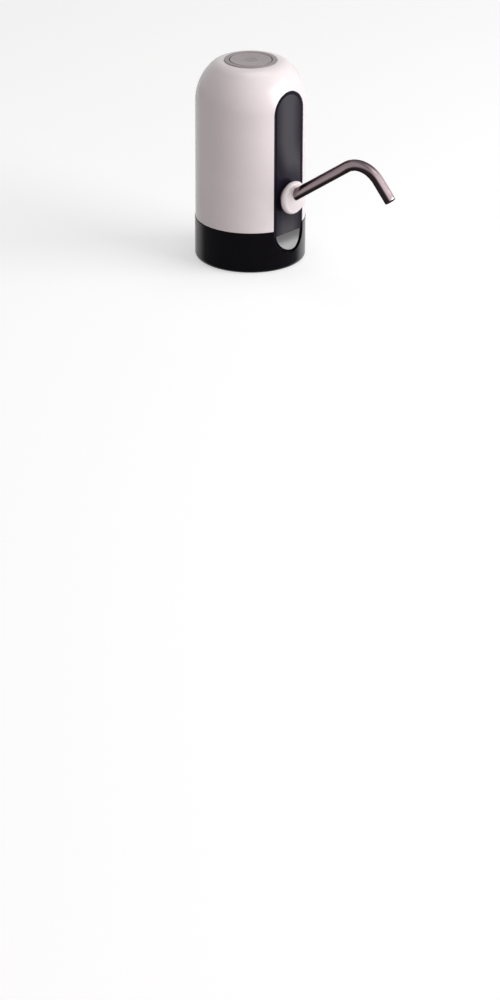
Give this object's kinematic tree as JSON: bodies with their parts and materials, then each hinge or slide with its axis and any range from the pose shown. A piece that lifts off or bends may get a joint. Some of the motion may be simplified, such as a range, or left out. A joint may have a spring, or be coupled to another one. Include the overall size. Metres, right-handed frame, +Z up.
{
  "type": "electric water jug pump",
  "caption": "Battery water pump that slips over a jug's neck: domed white housing, black foot and front panel, push button on top, bent steel spout that swivels and pulls out.",
  "frame": {"origin": "middle of the mouth of the neck bore, on the plane that the foot stands on", "axes": "+Z up along the housing's axis, +X towards the spout, +Y to the spout's left"},
  "size_m": [0.1546, 0.0706, 0.1307],
  "materials": {
    "white_shell": "glossy, slightly warm white",
    "black_gloss": "high gloss black",
    "black_inner": "moulded, fine texture",
    "grey_button": "satin grey",
    "dark_lens": "smooth, dark grey",
    "polished_steel": "polished, faint drawing lines",
    "soft_seal": "soft, matte",
    "clear_hose": "milky silicone",
    "pale_plastic": "moulded, pale",
    "pump_plastic": "moulded, dark",
    "gear_plastic": "smooth, waxy",
    "motor_steel": "plated steel",
    "magnet": "sintered, grainy",
    "bronze": "sintered bronze",
    "winding": "enamelled copper wire on a steel core",
    "screw_steel": "zinc plated",
    "cell_sleeve": "blue sleeve on a metal can",
    "green_board": "green solder mask",
    "led_lens": "clear, faintly blue"
  },
  "bodies": {
    "housing": {"housing_shell": "white_shell", "front_panel": "black_gloss", "base_skirt": "black_gloss", "neck_collar": "black_inner", "neck_gasket": "soft_seal", "chassis_deck": "pale_plastic", "inlet_barb": "pale_plastic", "barb_nut": "pale_plastic", "inlet_hose": "clear_hose", "pump_cover": "pump_plastic", "pump_housing": "pump_plastic", "idler_pin": "motor_steel", "shaft_seal": "soft_seal", "motor_can": "motor_steel", "motor_end_cap": "pump_plastic", "motor_magnets": "magnet", "motor_bushes": "bronze", "outlet_hose": "clear_hose", "outlet_port": "pale_plastic", "port_screws": "screw_steel", "battery_cell": "cell_sleeve", "charge_board": "green_board", "charge_socket": "motor_steel", "port_frame": "pump_plastic", "control_board": "green_board", "tact_switch": "pump_plastic", "status_led": "led_lens", "button_bezel": "grey_button", "housing_screws": "screw_steel", "pump_screws": "screw_steel", "board_screws": "screw_steel"},
    "button": {"button_cap": "grey_button", "button_lens": "dark_lens", "switch_plunger": "pale_plastic"},
    "spout_seal": {"spout_o_ring": "soft_seal"},
    "spout": {"spout_knob": "white_shell", "spout_tube": "polished_steel"},
    "rotor": {"motor_shaft": "motor_steel", "armature": "winding", "drive_gear": "gear_plastic"},
    "idler": {"idler_gear": "gear_plastic"}
  },
  "joints": [
    {"name": "button_press", "type": "slide", "parent": "housing", "child": "button", "axis": [0, 0, -1], "range_m": [0, 0.0012], "stiffness_N_per_m": 600},
    {"name": "spout_pull", "type": "slide", "parent": "housing", "child": "spout_seal", "axis": [1, 0, 0], "range_m": [0, 0.014]},
    {"name": "spout_swivel", "type": "hinge", "parent": "spout_seal", "child": "spout", "pos_m": [0.03227, 0, 0.0476], "axis": [1, 0, 0], "continuous": true},
    {"name": "rotor_spin", "type": "hinge", "parent": "housing", "child": "rotor", "pos_m": [-0.00578, -0.00505, 0.0476], "axis": [0, 0, 1], "continuous": true},
    {"name": "idler_spin", "type": "hinge", "parent": "housing", "child": "idler", "pos_m": [-0.00578, 0.00505, 0.0476], "axis": [0, 0, 1], "continuous": true}
  ],
  "couplings": [
    {"joint": "idler_spin", "follows": "rotor_spin", "ratio": -1}
  ]
}
